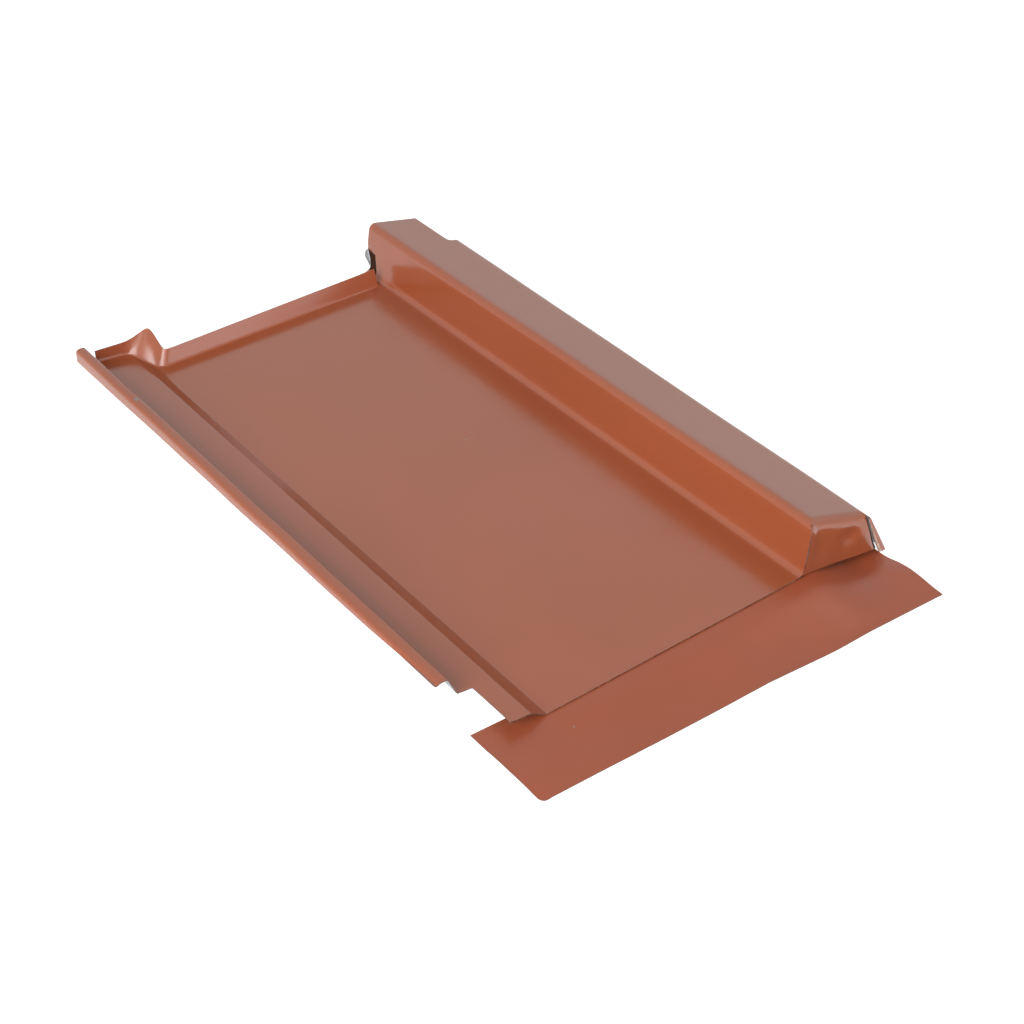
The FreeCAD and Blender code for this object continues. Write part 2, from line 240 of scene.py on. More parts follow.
# Rows of points, in millimetres behind the front edge: closer together at both ends and at the ridge's setback.
ROWS = [0.0, 1.5, 4.0, 8.0, 14.0, 22.0, RIDGE_SETBACK - 0.1, RIDGE_SETBACK, 40.0]
ROWS += [40.0 + 14.0 * k for k in range(1, 25)]
ROWS += [384.0, 390.0, 395.0, 400.0]
FLOOR_ROWS = len(ROWS)
EDGE_BEND_ROWS = 4
EDGE_RISE_ROWS = 4
REAR_ROWS = EDGE_BEND_ROWS + EDGE_RISE_ROWS


def section_at(y):
    """The section's points at a distance behind the front edge."""
    return mix(FRONT_POINTS, BACK_POINTS, min(y / RIB_LENGTH, 1.0))


def waver(x, y, scale, height, seed):
    """Gentle unevenness of hand-sized folds in thin sheet."""
    return height * noise.noise(Vector((x * scale, y * scale, seed)))


def floor_point(j, row, distances):
    """A point of the pan, step or flange in front of the turned-up edge."""
    y = ROWS[row]
    foot = path_at(distances[j])
    if y > WARP_START:
        share = (y - WARP_START) / (ROWS[-1] - WARP_START)
        y = mix(WARP_START, foot[1], share)
        sec = section_at(y)
        x = mix(sec[j, 0], foot[0], ease(share))
    else:
        sec = section_at(y)
        x = sec[j, 0]
    span = slice(RIDGE_FOOT, PAN_END + 1)
    z = float(np.interp(x, sec[span, 0], sec[span, 1]))
    return Vector((x, y, z))


def edge_point(j, level, distances, base):
    """A point of the turned-up back edge: level 1 is in the bend at its foot, the last is the cut edge."""
    distance = distances[j]
    normal = path_normal(distance)
    stations, *sides = zip(*EDGE_TOPS)
    top = np.array([np.interp(distance, stations, side) for side in sides])
    across = top[:2] - np.array(base[:2])
    out = float(across @ normal)
    slide = across - out * normal
    rise = float(top[2] - base.z)
    sweep = math.atan2(rise, out)
    for _ in range(4):
        sweep = math.atan2(rise - EDGE_RADIUS * (1 - math.cos(sweep)), out - EDGE_RADIUS * math.sin(sweep))
    bend_out, bend_up = EDGE_RADIUS * math.sin(sweep), EDGE_RADIUS * (1 - math.cos(sweep))
    if level <= EDGE_BEND_ROWS:
        a = sweep * level / EDGE_BEND_ROWS
        here_out, up = EDGE_RADIUS * math.sin(a), EDGE_RADIUS * (1 - math.cos(a))
    else:
        t = (level - EDGE_BEND_ROWS) / EDGE_RISE_ROWS
        here_out, up = mix(bend_out, out, t), mix(bend_up, rise, t)
    plan = np.array(base[:2]) + normal * here_out + slide * up / rise
    return Vector((plan[0], plan[1], base.z + up))


# The wall behind the pan: its cut end steps forward below RIB_STEP_HEIGHT, and its foot there is turned in and
# coloured near-black as painted shade.
RIB_BACK_STEP = 4.0
RIB_STEP_HEIGHT = 8.0
TURN_STARTS = (415.5, 420.5)
TURN_BOTTOM = 3.0
TURN_TOP = 16.0
TURN_LEVEL = 4
TURN_DEPTH = 1.4
# How far the torn tab stands out, against height.
TORN_TAB = ((4.0, 12.5, 16.5), (0.3, 4.6, 1.4))

# The ridge's free edge, pressed flat at its front end.
RIDGE_EDGE_COLUMNS = 7
RIDGE_TIP = (-44.0, 21.0)
RIDGE_TIP_STEP = 0.42
RIDGE_FLAT_LENGTH = 70.0
FRONT_SETTLE = 20.0

# The flap that closes the rib at the front, and the lip down the front of the outer flange.
FLAP_ROWS = 12
FLAP_BEND_ROWS = 5
FLAP_DENTS = [((212.0, 9.0), 9.0, 2.4), ((222.0, 6.0), 6.0, -1.0)]
FLAP_LEFT_FOOT = (175.4, 1.2)
FLAP_SLIT = 1.1
FLAP_RIGHT_FOOT = (236.6, -10.2)
FLAP_GAP = -0.2
FLAP_TURN = 0.022
FLAP_TURN_DEPTH = 2.5
FLAP_COLUMNS = range(CROWN_END - 3, OUTER_BEND + 3)
LIP_START = OUTER_BEND + 4
LIP_COLUMNS = range(LIP_START, COLUMNS)
LIP_BEND = 0.8
LIP_WIDTHS = (1.6, 5.2)
LIP_ROWS = 4


def flap_start(j):
    """How far behind the front edge the rib's top begins to bend down into the flap."""
    if j < CROWN_START or j > OUTER_END:
        return 0.0
    rise = ease((j - CROWN_START) / (CROWN_END - CROWN_START))
    fall = 1 - ease((j - OUTER_BEND) / (OUTER_END - OUTER_BEND))
    return FLAP_BEND_START * rise * fall


def front_inset(j):
    """How far behind the front edge the first row of a column lies, where the sheet turns down or in."""
    if j < LIP_START:
        return flap_start(j)
    return LIP_BEND


def dent(x, z, centre, radius, depth):
    """Depth of a soft round dent at a point of the flap."""
    d = math.hypot(x - centre[0], z - centre[1]) / radius
    return depth * (1 - ease(d))


def lip_width(j):
    """How far the lip reaches in from the flange's front edge."""
    return mix(*LIP_WIDTHS, ease((j - LIP_START) / (COLUMNS - 1 - LIP_START)))


def flap_share(j):
    """How far across the flap a column lies, from 0 to 1: the last two bound its turned-in right edge."""
    steps = len(FLAP_COLUMNS) - 1
    step = j - FLAP_COLUMNS[0]
    return 1.0 if step == steps else step / (steps - 1) * (1 - FLAP_TURN)


def flap_point(j, level):
    """A point of the flap folded down from the rib's top: level 1 is in the bend, the last is the cut edge."""
    top = section_at(0.0)[j]
    share = flap_share(j)
    foot = mix(np.array(FLAP_LEFT_FOOT), np.array(FLAP_RIGHT_FOOT), share)
    start = flap_start(j)
    radius = min(FLAP_BEND_RADIUS, start)
    if level <= FLAP_BEND_ROWS:
        a = math.pi / 2 * level / FLAP_BEND_ROWS
        y = start - radius * math.sin(a)
        drop = radius * (1 - math.cos(a))
        t = drop / (top[1] - foot[1])
    else:
        t0 = radius / (top[1] - foot[1])
        t = mix(t0, 1.0, (level - FLAP_BEND_ROWS) / (FLAP_ROWS - FLAP_BEND_ROWS))
        y = start - radius
    x = mix(top[0], foot[0], t)
    z = mix(top[1], foot[1], t)
    wall = section_at(0.0)[PAN_END + 1:CROWN_END - 2]
    left_end = section_at(0.0)[FLAP_COLUMNS[0]]
    straight = mix(left_end[0], FLAP_LEFT_FOOT[0], t)
    beside_wall = float(np.interp(z, wall[:, 1], wall[:, 0])) + FLAP_SLIT * ease(t * 4)
    x += (1 - share) * (beside_wall - straight)
    flange = section_at(0.0)[LIP_START:][::-1]
    inner = [point[0] - lip_width(COLUMNS - 1 - k) for k, point in enumerate(flange)]
    right_end = mix(section_at(0.0)[FLAP_COLUMNS[-1]][0], FLAP_RIGHT_FOOT[0], t)
    x += share * (float(np.interp(z, flange[:, 1], inner)) - FLAP_GAP - right_end) * ease(t * 4)
    face = ease((level - 2) / 4)
    y += face * sum(dent(x, z, *one) for one in FLAP_DENTS)
    y += face * waver(x, z, 0.06, 0.5, 3.0)
    if j == FLAP_COLUMNS[-1]:
        y += FLAP_TURN_DEPTH * ease(level / 4)
    return Vector((x, max(y, 0.05), z))


def lip_point(j, level):
    """A point of the narrow lip turned in along the front of the rib's outer flange."""
    x, z = section_at(0.0)[j]
    width = lip_width(j)
    reach = [0.0, 0.25, 0.8, mix(0.8, width, 0.6), width][level]
    y = [LIP_BEND, 0.22, 0.04, 0.04, 0.5][level]
    return Vector((x - reach, y, z))


def turned_wall(level, point, last):
    """A point (x, y) of the rib wall behind the pan, where the foot of its cut end is turned in."""
    x, z = point
    start = mix(*TURN_STARTS, min(z / TURN_TOP, 1.0))
    if level <= TURN_LEVEL:
        return x, mix(BACK_PATH[-1][1], start, level / TURN_LEVEL)
    share = (level - TURN_LEVEL) / (REAR_ROWS - TURN_LEVEL)
    turned = ease(z / 4) * ease((TURN_TOP + 2 - z) / 4)
    return x + TURN_DEPTH * turned * share, mix(start, last, share)


def torn_tab_point(edge):
    """The outer edge of the small torn tab beside a point on the wall's cut end."""
    reach = float(np.interp(edge.z, *TORN_TAB))
    return Vector((edge.x - reach, min(edge.y + 0.8, RIB_LENGTH - 0.1), edge.z))


def tile_point(j, row, distances):
    """A point of the folded sheet's upper surface."""
    on_edge = row >= FLOOR_ROWS
    if j in distances:
        if on_edge:
            return edge_point(j, row - FLOOR_ROWS + 1, distances, floor_point(j, FLOOR_ROWS - 1, distances))
        point = floor_point(j, row, distances)
        if j > STEP_TOP:
            along = ease(point.y / 30) * ease((390 - point.y) / 60)
            across = ease((point.x - 6) / 30) * ease((168 - point.x) / 30)
            point.z += along * across * waver(point.x, point.y, 0.012, 0.35, 7.0)
        return point
    if j > PAN_END:
        behind, last = BACK_PATH[-1][1], RIB_LENGTH
        if j < CROWN_START:
            last -= RIB_BACK_STEP * (1 - ease((BACK_POINTS[j, 1] - RIB_STEP_HEIGHT) / RIB_STEP_HEIGHT))
    else:
        behind, last = BACK_PATH[0][1], FLANGE_LENGTH
    level = row - FLOOR_ROWS + 1
    if on_edge:
        y = mix(behind, last, level / REAR_ROWS)
    else:
        y = ROWS[row]
        if y > WARP_START and (j < RIDGE_FOOT or j < CROWN_START and j > PAN_END):
            y = mix(WARP_START, behind, (y - WARP_START) / (ROWS[-1] - WARP_START))
    x, z = section_at(y)[j]
    if on_edge and PAN_END < j < CROWN_START:
        x, y = turned_wall(level, (x, z), last)
    if j >= CROWN_START and y < FRONT_SETTLE:
        y = mix(front_inset(j), FRONT_SETTLE, y / FRONT_SETTLE)
    if j < RIDGE_EDGE_COLUMNS:
        flat = 1 - ease((y - RIDGE_SETBACK) / RIDGE_FLAT_LENGTH)
        x = mix(x, RIDGE_TIP[0] + RIDGE_TIP_STEP * j, flat)
        z = mix(z, RIDGE_TIP[1], flat * (1 - j / RIDGE_EDGE_COLUMNS) ** 0.5)
    if j > PAN_END + 6:
        x += waver(0.0, y, 0.011, 0.5, 11.0)
    if j < RIDGE_FOOT:
        x += ease((y - RIDGE_SETBACK) / 40) * (0.4 + waver(0.0, y, 0.02, 0.5, 21.0))
        z += waver(0.0, y, 0.03, 0.3, 25.0)
    return Vector((x, y, z))


def keeps_face(j, row):
    """Whether the sheet has metal between columns j, j + 1 and rows row, row + 1."""
    in_front_of_ridge = row + 1 <= ROWS.index(RIDGE_SETBACK)
    if in_front_of_ridge and BACK_POINTS[j + 1, 0] < FLANGE_CUT:
        return False
    if RIDGE_FOOT - 1 <= j < RIDGE_FOOT and row >= FLOOR_ROWS:
        return False
    if j == PAN_END and row >= FLOOR_ROWS - 1:
        return False
    if j >= OUTER_BEND - 1 and (row >= FLOOR_ROWS or ROWS[row] >= NOTCH_START):
        return False
    return True


def build_sheet_cage():
    """Vertices and quads of the sheet's upper surface, in the tile's frame, and the faces that take another
    material than the paint: the bare back coat, a lighter painted highlight and a near-black painted shade.
    """
    distances = back_distances()
    rows = FLOOR_ROWS + REAR_ROWS
    vertices, quads, index, face_slots = [], [], {}, {}

    def vertex(key, point):
        if key not in index:
            index[key] = len(vertices)
            vertices.append(point)
        return index[key]

    for j in range(COLUMNS - 1):
        for row in range(rows - 1):
            if not keeps_face(j, row):
                continue
            corners = [(j, row), (j + 1, row), (j + 1, row + 1), (j, row + 1)]
            level = row - FLOOR_ROWS + 1
            # The turned-in foot of the wall's cut end takes a near-black painted shade, standing in for the
            # shadowed hollow behind the pan's back edge.
            on_foot = PAN_END < j < CROWN_START and TURN_BOTTOM < BACK_POINTS[j + 1, 1] < TURN_TOP + 1
            if on_foot and level >= TURN_LEVEL:
                face_slots[len(quads)] = PAINTED_SHADE_SLOT
            quads.append([vertex(c, tile_point(*c, distances)) for c in corners])
    low, _, high = TORN_TAB[0]
    for j in range(PAN_END + 1, CROWN_START - 1):
        if BACK_POINTS[j, 1] < low or BACK_POINTS[j + 1, 1] > high:
            continue
        quad = [vertex((column, rows - 1), tile_point(column, rows - 1, distances)) for column in (j, j + 1)]
        for column in (j + 1, j):
            quad.append(vertex((column, rows), torn_tab_point(tile_point(column, rows - 1, distances))))
        face_slots[len(quads)] = BACK_SLOT
        quads.append(quad)
    for row in range(FLOOR_ROWS - 1, rows - 1):
        quad = []
        for column, r in [(PAN_END, row), (PAN_END + 1, row), (PAN_END + 1, row + 1), (PAN_END, row + 1)]:
            if column == PAN_END and r >= FLOOR_ROWS:
                beside = tile_point(PAN_END + 1, r, distances)
                quad.append(vertex(("strip", r), Vector((BACK_PATH[-1][0], beside.y, GAUGE))))
            else:
                quad.append(vertex((column, r), tile_point(column, r, distances)))
        quads.append(quad)
    for columns, levels, place in [(FLAP_COLUMNS, FLAP_ROWS, flap_point), (LIP_COLUMNS, LIP_ROWS, lip_point)]:
        for j in columns[:-1]:
            for level in range(levels):
                quad = []
                for column, row in [(j, -level - 1), (j + 1, -level - 1), (j + 1, -level), (j, -level)]:
                    point = tile_point(column, 0, distances) if row == 0 else place(column, -row)
                    quad.append(vertex((column, row), point))
                # The flap's turned-in right edge takes the near-black painted shade, standing in for the shadow
                # gap between the flap and the lip.
                if place is flap_point and j == FLAP_COLUMNS[-2] and level > 3:
                    face_slots[len(quads)] = PAINTED_SHADE_SLOT
                # The lip's inner edge takes a lighter painted highlight, standing in for the bright line the
                # light puts there.
                if place is lip_point and level == LIP_ROWS - 1:
                    face_slots[len(quads)] = PAINTED_HIGHLIGHT_SLOT
                quads.append(quad)
    return vertices, quads, face_slots


def new_mesh_object(name, vertices, quads, frame_matrix):
    mesh = bpy.data.meshes.new(name)
    mesh.from_pydata([frame_matrix @ v for v in vertices], [], quads)
    mesh.validate()
    mesh.polygons.foreach_set("use_smooth", [True] * len(mesh.polygons))
    piece = bpy.data.objects.new(name, mesh)
    bpy.context.scene.collection.objects.link(piece)
    return piece


SHARP_ANGLE = math.radians(48)
# Slot 3 is a lighter painted highlight and slot 4 a near-black painted shade.
BACK_SLOT, PAINTED_HIGHLIGHT_SLOT, PAINTED_SHADE_SLOT = 1, 3, 4


def apply_modifiers(piece):
    depsgraph = bpy.context.evaluated_depsgraph_get()
    mesh = bpy.data.meshes.new_from_object(piece.evaluated_get(depsgraph))
    piece.modifiers.clear()
    mesh.set_sharp_from_angle(angle=SHARP_ANGLE)
    piece.data = mesh


def add_thickness(piece, gauge, subdivisions):
    """Smooths the sheet and gives it its gauge, with its own materials for the back and the cut edges."""
    smooth = piece.modifiers.new("smooth", "SUBSURF")
    smooth.levels = smooth.render_levels = subdivisions
    smooth.boundary_smooth = "PRESERVE_CORNERS"
    solid = piece.modifiers.new("gauge", "SOLIDIFY")
    solid.thickness = gauge * MM
    solid.offset = -1
    solid.use_even_offset = True
    solid.material_offset = 1
    solid.material_offset_rim = 2
    apply_modifiers(piece)


def keep_inside(piece, low, high):
    """Holds the piece's few proudest points to its CAD node's box."""
    places = np.empty(3 * len(piece.data.vertices))
    piece.data.vertices.foreach_get("co", places)
    places = np.clip(places.reshape(-1, 3), np.array(low), np.array(high))
    piece.data.vertices.foreach_set("co", places.ravel())


def make_tile(materials):
    vertices, quads, face_slots = build_sheet_cage()
    tile = new_mesh_object("tile_body", vertices, quads, TILE_FRAME)
    for material in materials:
        tile.data.materials.append(material)
    for face, slot in face_slots.items():
        tile.data.polygons[face].material_index = slot
    add_thickness(tile, GAUGE, 1)
    keep_inside(tile, TILE_LOW, TILE_HIGH)
    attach(tile, "root")
    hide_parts("tile_sheet")
    return tile


# ---------------------------------------------------------------- apron, in the CAD frame, millimetres
APRON_SPAN = (APRON_HIGH.x - APRON_LOW.x) / MM
APRON_DEPTH = (APRON_HIGH.y - APRON_LOW.y) / MM
PAN_LEFT = 98.8
PAN_SPAN = 176.5
APRON_SHOULDER = 46.0
APRON_LAP = 10.0
APRON_HELD = 0.97
APRON_ACROSS = 120
APRON_ALONG = 30
APRON_CORNER = 4.0
APRON_EDGE_WAVE = [
    (-139, 0.0), (-100, 0.2), (-60, 0.1), (-25, 0.5), (8, 1.4), (24, 0.7), (42, 0.0), (64, 0.0), (84, 0.4),
    (115, 0.2), (139, 0.0),
]
SIDE_WAVE = 1.8


def apron_rise(x, v):
    """Height of the apron's underside: x from the foot of the step, v from 0 at the front to 1 at the tile."""
    if x < PAN_SPAN:
        across = max(x, 0.0)
    else:
        across = PAN_SPAN * (1 - ease((x - PAN_SPAN) / APRON_SHOULDER))
    held = across * math.tan(REST_TILT)
    return held * ease(v) * APRON_HELD


def spaced(count, span, near):
    """Stations from 0 to span, closer together over the first few millimetres."""
    fine = [near * k / 6 for k in range(6)]
    return fine + [near + (span - near) * k / count for k in range(count + 1)]


def edge_wave(x):
    """Rise of the apron's free front edge off the floor, against x."""
    return float(np.interp(x, *zip(*APRON_EDGE_WAVE)))


def apron_point(x, y):
    """x across and y back, both from the apron's front left corner."""
    r = APRON_CORNER
    if x < r and y < r:
        reach, square = math.hypot(r - x, r - y), max(r - x, r - y)
        x, y = r - (r - x) * square / reach, r - (r - y) * square / reach
    v = min(y / (APRON_DEPTH - APRON_LAP), 1.0)
    place_x = x + APRON_LOW.x / MM
    z = apron_rise(place_x + PAN_LEFT, v)
    free = ease((1.0 - v) / 0.3)
    rise = edge_wave(place_x) * (1 - ease(v / 0.9))
    ripple = 0.4 + waver(x, y, 0.022, 1.0, 31.0) + waver(x, y, 0.06, 0.25, 37.0)
    rise += ease(v / 0.3) * max(0.0, ripple)
    rise += SIDE_WAVE * ease((x - APRON_SPAN + 30) / 30) * math.sin(math.pi * v) ** 2
    bulge = 0.45 * (1 - math.exp(-((place_x - 57) / 14) ** 2)) * (1 - ease(y / 12)) * ease(x / 8)
    return Vector((place_x, y + bulge + APRON_LOW.y / MM, z + free * rise + APRON_GAUGE))


def make_apron(materials):
    across = spaced(APRON_ACROSS, APRON_SPAN, APRON_CORNER)
    along = spaced(APRON_ALONG, APRON_DEPTH, APRON_CORNER)
    vertices = [apron_point(x, y) for x in across for y in along]
    stride = len(along)
    quads = []
    for a in range(len(across) - 1):
        for b in range(stride - 1):
            k = a * stride + b
            quads.append([k, k + stride, k + stride + 1, k + 1])
    apron = new_mesh_object("apron_sheet", vertices, quads, Matrix.Scale(MM, 4))
    for material in materials:
        apron.data.materials.append(material)
    add_thickness(apron, APRON_GAUGE, 0)
    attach(apron, "root")
    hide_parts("apron")
    return apron


# ---------------------------------------------------------------- materials
def node_material(name):
    material = bpy.data.materials.new(name)
    material.use_nodes = True
    tree = material.node_tree
    tree.nodes.clear()
    output = tree.nodes.new("ShaderNodeOutputMaterial")
    shader = tree.nodes.new("ShaderNodeBsdfPrincipled")
    tree.links.new(shader.outputs["BSDF"], output.inputs["Surface"])
    return material, tree, shader


def object_noise(tree, scale, detail, roughness=0.5):
    where = tree.nodes.new("ShaderNodeTexCoord")
    texture = tree.nodes.new("ShaderNodeTexNoise")
    texture.inputs["Scale"].default_value = scale
    texture.inputs["Detail"].default_value = detail
    texture.inputs["Roughness"].default_value = roughness
    tree.links.new(where.outputs["Object"], texture.inputs["Vector"])
    return texture


def colour_ramp(tree, source, stops):
    ramp = tree.nodes.new("ShaderNodeValToRGB")
    elements = ramp.color_ramp.elements
    while len(elements) < len(stops):
        elements.new(0.5)
    for element, (position, colour) in zip(elements, stops):
        element.position = position
        element.color = (*colour, 1.0)
    tree.links.new(source, ramp.inputs["Fac"])
    return ramp


def value_range(tree, source, low, high, out_low, out_high):
    mapper = tree.nodes.new("ShaderNodeMapRange")
    mapper.inputs["From Min"].default_value = low
    mapper.inputs["From Max"].default_value = high
    mapper.inputs["To Min"].default_value = out_low
    mapper.inputs["To Max"].default_value = out_high
    tree.links.new(source, mapper.inputs["Value"])
    return mapper


def add_bump(tree, shader, layers):
    """Stacks bump layers, each (height output, strength, distance)."""
    normal = None
    for height, strength, distance in layers:
        bump = tree.nodes.new("ShaderNodeBump")
        bump.inputs["Strength"].default_value = strength
        bump.inputs["Distance"].default_value = distance
        tree.links.new(height, bump.inputs["Height"])
        if normal:
            tree.links.new(normal, bump.inputs["Normal"])
        normal = bump.outputs["Normal"]
    tree.links.new(normal, shader.inputs["Normal"])


def near_points(tree, points):
    """1 on small ragged flecks about the given places (x, y, z, radius), 0 elsewhere."""
    where = tree.nodes.new("ShaderNodeTexCoord")
    ragged = object_noise(tree, 700.0, 2.0)
    total = None
    for x, y, z, radius in points:
        gap = tree.nodes.new("ShaderNodeVectorMath")
        gap.operation = "DISTANCE"
        gap.inputs[1].default_value = (x, y, z)
        tree.links.new(where.outputs["Object"], gap.inputs[0])
        wobble = tree.nodes.new("ShaderNodeMath")
        wobble.operation = "MULTIPLY_ADD"
        wobble.inputs[1].default_value = radius * 1.6
        tree.links.new(ragged.outputs["Fac"], wobble.inputs[0])
        tree.links.new(gap.outputs["Value"], wobble.inputs[2])
        inside = value_range(tree, wobble.outputs[0], radius * 1.6, radius * 1.9, 1.0, 0.0).outputs["Result"]
        if total is None:
            total = inside
            continue
        larger = tree.nodes.new("ShaderNodeMath")
        larger.operation = "MAXIMUM"
        tree.links.new(total, larger.inputs[0])
        tree.links.new(inside, larger.inputs[1])
        total = larger.outputs[0]
    return total


def paint(name, dark, light, ior, rough_low, rough_high, flecks):
    """Powder coat: a faint change of tone, orange peel, roughness that varies, and flecks of lost paint."""
    material, tree, shader = node_material(name)
    tone = object_noise(tree, 9.0, 4.0)
    ramp = colour_ramp(tree, tone.outputs["Fac"], [(0.2, dark), (0.8, light)])
    colour = tree.nodes.new("ShaderNodeMixRGB")
    colour.inputs["Color2"].default_value = (*FLECK_GREY, 1.0)
    tree.links.new(near_points(tree, flecks), colour.inputs["Fac"])
    tree.links.new(ramp.outputs["Color"], colour.inputs["Color1"])
    tree.links.new(colour.outputs["Color"], shader.inputs["Base Color"])
    smear = object_noise(tree, 22.0, 2.0)
    rough = value_range(tree, smear.outputs["Fac"], 0.2, 0.8, rough_low, rough_high)
    tree.links.new(rough.outputs["Result"], shader.inputs["Roughness"])
    shader.inputs["IOR"].default_value = ior
    peel = object_noise(tree, 900.0, 1.0)
    add_bump(tree, shader, [(peel.outputs["Fac"], 0.04, 0.00005)])
    return material


def bare_metal(name, dark, light, metallic, rough_low, rough_high, specular=0.5):
    """Grey or brown metal with a fine grain in its colour, roughness and surface; also used for a near-black
    painted shade.
    """
    material, tree, shader = node_material(name)
    grain = object_noise(tree, 400.0, 3.0)
    ramp = colour_ramp(tree, grain.outputs["Fac"], [(0.35, dark), (0.65, light)])
    tree.links.new(ramp.outputs["Color"], shader.inputs["Base Color"])
    rough = value_range(tree, grain.outputs["Fac"], 0.3, 0.7, rough_low, rough_high)
    tree.links.new(rough.outputs["Result"], shader.inputs["Roughness"])
    shader.inputs["Metallic"].default_value = metallic
    shader.inputs["Specular IOR Level"].default_value = specular
    add_bump(tree, shader, [(grain.outputs["Fac"], 0.1, 0.00005)])
    return material


TILE_DARK = (0.355, 0.086, 0.031)
TILE_LIGHT = (0.390, 0.098, 0.036)
APRON_DARK = (0.345, 0.076, 0.029)
APRON_LIGHT = (0.380, 0.088, 0.035)
FLECK_GREY = (0.23, 0.21, 0.20)
TILE_FLECKS = [
    (-0.1385, 0.1615, 0.0190, 0.0017), (0.0172, 0.03025, 0.00748, 0.00045), (0.00961, 0.02685, 0.00708, 0.0005),
]
APRON_FLECKS = [(0.0612, -0.2215, 0.0045, 0.0004), (-0.0931, -0.2061, 0.001, 0.0005)]
tile_paint = paint("tile_paint", TILE_DARK, TILE_LIGHT, 1.6, 0.15, 0.24, TILE_FLECKS)
apron_paint = paint("apron_paint", APRON_DARK, APRON_LIGHT, 1.5, 0.30, 0.42, APRON_FLECKS)
back_coat = bare_metal("back_coat", (0.29, 0.31, 0.33), (0.37, 0.39, 0.41), 0.3, 0.4, 0.55)
cut_edge = bare_metal("cut_edge", (0.12, 0.055, 0.038), (0.27, 0.155, 0.12), 0.25, 0.4, 0.6)
# A lighter brown painted highlight along the lip's inner edge, not wear.
painted_highlight_edge = bare_metal("painted_highlight_edge", (0.42, 0.25, 0.19), (0.62, 0.45, 0.37), 0.3, 0.3, 0.45)
# A near-black painted shade for shadowed hollows, not a colour of the sheet.
painted_shade_crease = bare_metal("painted_shade_crease", (0.026, 0.010, 0.005), (0.060, 0.022, 0.010), 0.0, 0.7, 0.9, 0.1)

make_tile([tile_paint, back_coat, cut_edge, painted_highlight_edge, painted_shade_crease])
make_apron([apron_paint, back_coat, cut_edge])

# ---------------------------------------------------------------- floor, light and camera
FLOOR_SIZE = 6.0
FLOOR_GLOW = 0.75
# Middle and half width, along each axis, of the floor that the object shades.
FOOTPRINT = (("X", 0.015, 0.106), ("Y", 0.0, 0.221))
FOOTPRINT_BLEND = 0.015
AMBIENT = 0.27
WHITE, COOL, PALE_BLUE = (1.0, 1.0, 1.0), (0.80, 0.92, 1.0), (0.88, 0.96, 1.0)
# Name, place in metres, width and height, watts, colour.
LAMPS = [
    ("key", (-1.65, -0.75, 0.92), (1.4, 1.2), 33.5, WHITE),
    ("front", (-0.70, -1.50, 1.15), (1.2, 1.2), 7.5, WHITE),
    ("overhead", (0.75, -0.25, 1.25), (0.26, 0.26), 1.0, WHITE),
    ("low", (1.00, -1.70, 0.35), (1.3, 0.8), 6.4, COOL),
    ("back", (1.05, 1.35, 1.30), (1.4, 1.2), 0.6, PALE_BLUE),
]
CAMERA_PLACE = (-0.537439, -0.718237, 0.604907)
CAMERA_TURN = (54.8742, -1.4813, -37.0387)
CAMERA_LENS = 64.361


def seen_rays(tree):
    """1 where the background is seen, straight on or in metal or glass, and 0 for the light it gives."""
    path = tree.nodes.new("ShaderNodeLightPath")
    total = path.outputs["Is Camera Ray"]
    for kind in ("Is Glossy Ray", "Is Transmission Ray"):
        larger = tree.nodes.new("ShaderNodeMath")
        larger.operation = "MAXIMUM"
        tree.links.new(total, larger.inputs[0])
        tree.links.new(path.outputs[kind], larger.inputs[1])
        total = larger.outputs[0]
    return total


def clear_of_footprint(tree):
    """0 in a box under the object, rising to the glow FLOOR_GLOW a little way outside its outline: a box of
    painted shade round and under the object, inside which the lamps' own shadow also shows.
    """
    place = tree.nodes.new("ShaderNodeNewGeometry")
    axes = tree.nodes.new("ShaderNodeSeparateXYZ")
    tree.links.new(place.outputs["Position"], axes.inputs["Vector"])
    outside = []
    for axis, centre, half in FOOTPRINT:
        offset = tree.nodes.new("ShaderNodeMath")
        offset.operation = "SUBTRACT"
        offset.inputs[1].default_value = centre
        tree.links.new(axes.outputs[axis], offset.inputs[0])
        size = tree.nodes.new("ShaderNodeMath")
        size.operation = "ABSOLUTE"
        tree.links.new(offset.outputs[0], size.inputs[0])
        beyond = tree.nodes.new("ShaderNodeMath")
        beyond.operation = "SUBTRACT"
        beyond.inputs[1].default_value = half
        tree.links.new(size.outputs[0], beyond.inputs[0])
        outside.append(beyond.outputs[0])
    farther = tree.nodes.new("ShaderNodeMath")
    farther.operation = "MAXIMUM"
    tree.links.new(outside[0], farther.inputs[0])
    tree.links.new(outside[1], farther.inputs[1])
    return value_range(tree, farther.outputs[0], 0.0, FOOTPRINT_BLEND, 0.0, FLOOR_GLOW).outputs["Result"]


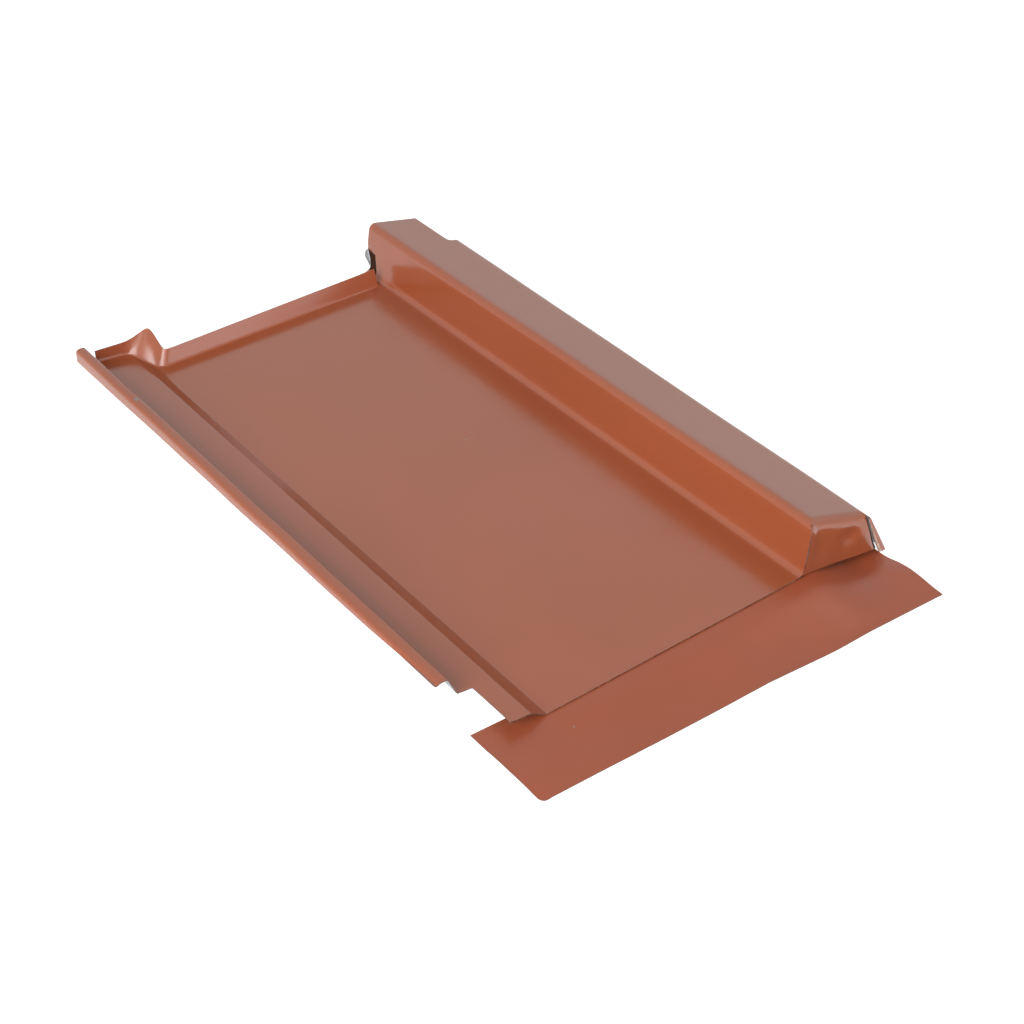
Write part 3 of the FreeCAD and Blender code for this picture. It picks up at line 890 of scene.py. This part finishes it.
def make_floor():
    mesh = bpy.data.meshes.new("floor")
    half = FLOOR_SIZE / 2
    corners = [(-half, -half, 0), (half, -half, 0), (half, half, 0), (-half, half, 0)]
    mesh.from_pydata(corners, [], [(0, 1, 2, 3)])
    floor = bpy.data.objects.new("floor", mesh)
    bpy.context.scene.collection.objects.link(floor)
    material, tree, shader = node_material("floor_white")
    shader.inputs["Base Color"].default_value = (0.9, 0.9, 0.9, 1)
    shader.inputs["Roughness"].default_value = 0.9
    shader.inputs["Specular IOR Level"].default_value = 0.0
    seen = tree.nodes.new("ShaderNodeEmission")
    seen.inputs["Color"].default_value = (1, 1, 1, 1)
    both = tree.nodes.new("ShaderNodeAddShader")
    output = next(n for n in tree.nodes if n.type == "OUTPUT_MATERIAL")
    amount = tree.nodes.new("ShaderNodeMath")
    amount.operation = "MULTIPLY"
    tree.links.new(seen_rays(tree), amount.inputs[0])
    tree.links.new(clear_of_footprint(tree), amount.inputs[1])
    tree.links.new(amount.outputs[0], seen.inputs["Strength"])
    tree.links.new(shader.outputs["BSDF"], both.inputs[0])
    tree.links.new(seen.outputs["Emission"], both.inputs[1])
    tree.links.new(both.outputs["Shader"], output.inputs["Surface"])
    floor.data.materials.append(material)


def area_light(name, place, size, power, colour):
    """A soft lamp aimed at the middle of the floor, not itself seen by the camera."""
    data = bpy.data.lights.new(name, "AREA")
    data.shape = "RECTANGLE"
    data.size, data.size_y = size
    data.energy = power
    data.color = colour
    lamp = bpy.data.objects.new(name, data)
    lamp.location = place
    lamp.rotation_mode = "QUATERNION"
    lamp.rotation_quaternion = (-Vector(place)).to_track_quat("-Z", "Y")
    lamp.visible_camera = False
    bpy.context.scene.collection.objects.link(lamp)


def make_world():
    world = bpy.data.worlds.new("studio")
    bpy.context.scene.world = world
    world.use_nodes = True
    tree = world.node_tree
    tree.nodes.clear()
    output = tree.nodes.new("ShaderNodeOutputWorld")
    ambient = tree.nodes.new("ShaderNodeBackground")
    ambient.inputs["Color"].default_value = (1, 1, 1, 1)
    ambient.inputs["Strength"].default_value = AMBIENT
    seen = tree.nodes.new("ShaderNodeBackground")
    seen.inputs["Color"].default_value = (1, 1, 1, 1)
    seen.inputs["Strength"].default_value = 1.0
    pick = tree.nodes.new("ShaderNodeMixShader")
    tree.links.new(seen_rays(tree), pick.inputs["Fac"])
    tree.links.new(ambient.outputs["Background"], pick.inputs[1])
    tree.links.new(seen.outputs["Background"], pick.inputs[2])
    tree.links.new(pick.outputs["Shader"], output.inputs["Surface"])


def make_camera():
    data = bpy.data.cameras.new("camera")
    data.lens = CAMERA_LENS
    data.sensor_width = 36.0
    data.clip_start, data.clip_end = 0.05, 20.0
    camera = bpy.data.objects.new("camera", data)
    camera.location = CAMERA_PLACE
    camera.rotation_euler = Euler([math.radians(a) for a in CAMERA_TURN], "XYZ")
    bpy.context.scene.collection.objects.link(camera)
    bpy.context.scene.camera = camera


make_floor()
make_world()
make_camera()
for lamp in LAMPS:
    area_light(*lamp)
bpy.context.scene.view_settings.view_transform = "Standard"
